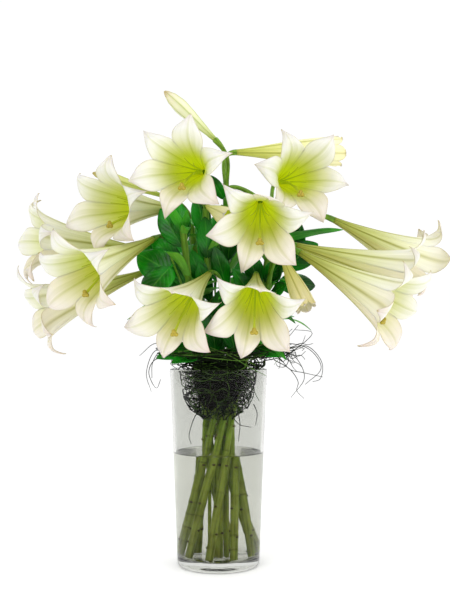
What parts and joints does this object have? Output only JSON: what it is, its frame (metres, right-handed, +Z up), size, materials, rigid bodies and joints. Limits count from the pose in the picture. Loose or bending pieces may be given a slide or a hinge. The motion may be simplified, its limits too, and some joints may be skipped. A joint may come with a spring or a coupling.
{
  "type": "lilies in a vase",
  "caption": "White trumpet lilies with green throats, buds and broad leaves, cut and standing in a clear conical glass vase of water with a nest of vine in its mouth.",
  "frame": {"origin": "centre of the vase's flat underside, on the surface that it stands on", "axes": "+Z up the vase's axis, -Y towards the side that is looked at, +X to that viewer's right"},
  "size_m": [0.584, 0.3056, 0.6145],
  "materials": {
    "glass": "gloss",
    "water": "gloss",
    "vine": "matte",
    "stem": "satin",
    "leaf": "satin",
    "petal": "satin",
    "young_petal": "satin",
    "pistil": "satin"
  },
  "bodies": {
    "root": {"vase": "glass", "water": "water", "nest_of_vine": "vine", "stem_front_right": "stem", "stem_right": "stem", "stem_right_back": "stem", "stem_tall": "stem", "stem_left_back": "stem", "stem_left": "stem", "stem_young": "stem", "stem_front_left": "stem", "stem_middle": "stem", "sprig_left": "leaf", "sprig_right": "leaf", "sprig_back": "leaf", "bloom_top_left": "petal", "pistil_top_left": "pistil", "bloom_left_upper": "petal", "pistil_left_upper": "pistil", "bloom_left_far": "petal", "pistil_left_far": "pistil", "bloom_left_middle": "petal", "pistil_left_middle": "pistil", "bloom_left_lower": "petal", "pistil_left_lower": "pistil", "bloom_front_left": "petal", "pistil_front_left": "pistil", "bloom_front_right": "petal", "pistil_front_right": "pistil", "bloom_centre": "petal", "pistil_centre": "pistil", "bloom_top_right": "petal", "pistil_top_right": "pistil", "bloom_top_back": "young_petal", "bloom_right_upper": "petal", "pistil_right_upper": "pistil", "bloom_right_middle": "petal", "pistil_right_middle": "pistil", "bloom_right_lower": "petal", "pistil_right_lower": "pistil", "bloom_behind_right": "young_petal", "bloom_behind_left": "young_petal", "bud_top": "young_petal", "bud_left": "young_petal"}
  },
  "joints": []
}
